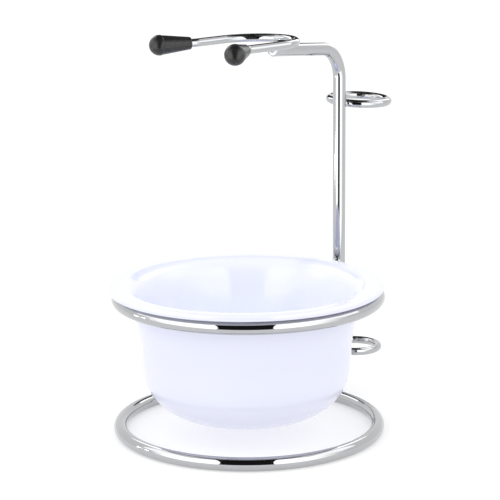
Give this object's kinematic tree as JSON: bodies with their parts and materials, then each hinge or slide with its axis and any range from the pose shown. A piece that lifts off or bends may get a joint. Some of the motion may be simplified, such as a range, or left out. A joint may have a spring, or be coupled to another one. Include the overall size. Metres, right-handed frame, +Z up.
{
  "type": "shaving bowl on a wire stand",
  "caption": "Lather bowl hung by its flared rim in a chrome wire stand, with a fork for a shaving brush and loops for a razor.",
  "frame": {"origin": "middle of the assembly's footprint, on the surface that the base ring rests on", "axes": "+Z up, +Y from the bowl towards the post and the razor loops, +X to the right seen from the bowl's side"},
  "size_m": [0.1024, 0.142, 0.1485],
  "materials": {
    "base_ring_chrome": "polished",
    "bowl_ring_chrome": "polished",
    "post_chrome": "polished",
    "stub_chrome": "polished",
    "fork_chrome": "polished",
    "loop_chrome": "polished",
    "weld_chrome": "gloss",
    "tip_rubber": "satin",
    "bowl_glaze": "gloss"
  },
  "bodies": {
    "stand": {"base_ring": "base_ring_chrome", "bowl_ring": "bowl_ring_chrome", "post": "post_chrome", "bowl_ring_stub": "stub_chrome", "brush_fork": "fork_chrome", "upper_razor_loop": "loop_chrome", "lower_razor_loop": "loop_chrome", "base_ring_weld": "weld_chrome", "stub_front_weld": "weld_chrome", "stub_back_weld": "weld_chrome", "fork_weld": "weld_chrome", "upper_loop_weld": "weld_chrome", "lower_loop_weld": "weld_chrome", "rubber_tip_left": "tip_rubber", "rubber_tip_right": "tip_rubber"},
    "bowl": {"bowl": "bowl_glaze"}
  },
  "joints": [
    {"name": "bowl_lift", "type": "slide", "parent": "stand", "child": "bowl", "axis": [0, 0, 1], "range_m": [0, 0.06]}
  ]
}
